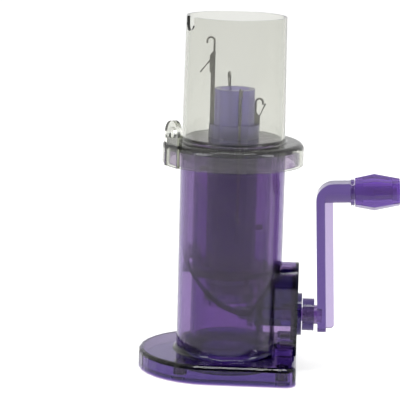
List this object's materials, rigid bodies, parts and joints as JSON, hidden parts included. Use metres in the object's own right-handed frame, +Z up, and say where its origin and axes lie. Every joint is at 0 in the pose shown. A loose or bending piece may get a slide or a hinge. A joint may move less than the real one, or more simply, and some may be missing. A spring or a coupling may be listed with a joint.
{
  "type": "knitting machine",
  "caption": "Hand-cranked knitting machine for round cords, with latch needles in a rotating barrel, translucent violet body and clear cover.",
  "frame": {"origin": "on the body tube's axis at the underside of the base, at the middle of the hole the cord leaves by", "axes": "+Z up along the body's axis; +X from the body to the crank, along the crank's axis; +Y to the rear"},
  "size_m": [0.1157, 0.066, 0.16],
  "materials": {
    "violet_plastic": "glossy moulded plastic, translucent violet",
    "dark_violet_plastic": "glossy moulded plastic, deep violet",
    "smoke_plastic": "glossy moulded plastic, translucent smoke grey",
    "clear_plastic": "glossy clear plastic with a faint olive smoke tint",
    "grey_plastic": "glossy moulded plastic, grey lilac",
    "screw_steel": "zinc-plated steel",
    "needle_steel": "stamped and polished steel"
  },
  "bodies": {
    "frame": {"body_shell": "violet_plastic", "bottom_plate": "violet_plastic", "base_screws": "screw_steel", "side_cover": "violet_plastic", "cover_screws": "screw_steel", "shaft_bush": "violet_plastic", "bearing_block": "dark_violet_plastic", "guard_tube": "violet_plastic", "bearing_plate": "violet_plastic", "inner_sleeve": "smoke_plastic", "cam_ring": "violet_plastic", "floor_ring": "smoke_plastic", "top_cover": "clear_plastic"},
    "barrel": {"needle_barrel": "grey_plastic", "crown_gear": "violet_plastic"},
    "crank": {"crank_shaft": "violet_plastic", "pinion": "violet_plastic", "crank_hub": "violet_plastic", "crank_arm": "violet_plastic", "knob_washer": "violet_plastic", "knob_screw": "screw_steel"},
    "knob": {"knob": "violet_plastic"},
    "needle_left": {"needle_left": "needle_steel", "rivet_left": "needle_steel"},
    "latch_left": {"latch_left": "needle_steel"},
    "needle_back": {"needle_back": "needle_steel", "rivet_back": "needle_steel"},
    "latch_back": {"latch_back": "needle_steel"},
    "needle_right": {"needle_right": "needle_steel", "rivet_right": "needle_steel"},
    "latch_right": {"latch_right": "needle_steel"},
    "needle_front": {"needle_front": "needle_steel", "rivet_front": "needle_steel"},
    "latch_front": {"latch_front": "needle_steel"}
  },
  "joints": [
    {"name": "barrel_turn", "type": "hinge", "parent": "frame", "child": "barrel", "pos_m": [0, 0, 0], "axis": [0, 0, 1], "continuous": true},
    {"name": "crank_turn", "type": "hinge", "parent": "frame", "child": "crank", "pos_m": [0, 0, 0.0257], "axis": [1, 0, 0], "continuous": true},
    {"name": "knob_spin", "type": "hinge", "parent": "crank", "child": "knob", "pos_m": [0.03762, 0, 0.08185], "axis": [0.999, 0, 0.0436], "continuous": true},
    {"name": "needle_left_slide", "type": "slide", "parent": "barrel", "child": "needle_left", "axis": [0, 0, 1], "range_m": [-0.0276, 0.0004]},
    {"name": "latch_left_swing", "type": "hinge", "parent": "needle_left", "child": "latch_left", "pos_m": [-0.01053, -0.00282, 0.1413], "axis": [0.2588, -0.9659, 0], "range_deg": [-115.7, 1.3]},
    {"name": "needle_back_slide", "type": "slide", "parent": "barrel", "child": "needle_back", "axis": [0, 0, 1], "range_m": [-0.01052, 0.01748]},
    {"name": "latch_back_swing", "type": "hinge", "parent": "needle_back", "child": "latch_back", "pos_m": [-0.00282, 0.01053, 0.12422], "axis": [-0.9659, -0.2588, 0], "range_deg": [0, 117]},
    {"name": "needle_right_slide", "type": "slide", "parent": "barrel", "child": "needle_right", "axis": [0, 0, 1], "range_m": [-0.00003, 0.02797]},
    {"name": "latch_right_swing", "type": "hinge", "parent": "needle_right", "child": "latch_right", "pos_m": [0.01053, 0.00282, 0.11373], "axis": [-0.2588, 0.9659, 0], "range_deg": [0, 117]},
    {"name": "needle_front_slide", "type": "slide", "parent": "barrel", "child": "needle_front", "axis": [0, 0, 1], "range_m": [-0.00565, 0.02235]},
    {"name": "latch_front_swing", "type": "hinge", "parent": "needle_front", "child": "latch_front", "pos_m": [0.00282, -0.01053, 0.11935], "axis": [0.9659, 0.2588, 0], "range_deg": [0, 117]}
  ],
  "couplings": [
    {"joint": "barrel_turn", "follows": "crank_turn", "ratio": -0.5625}
  ]
}
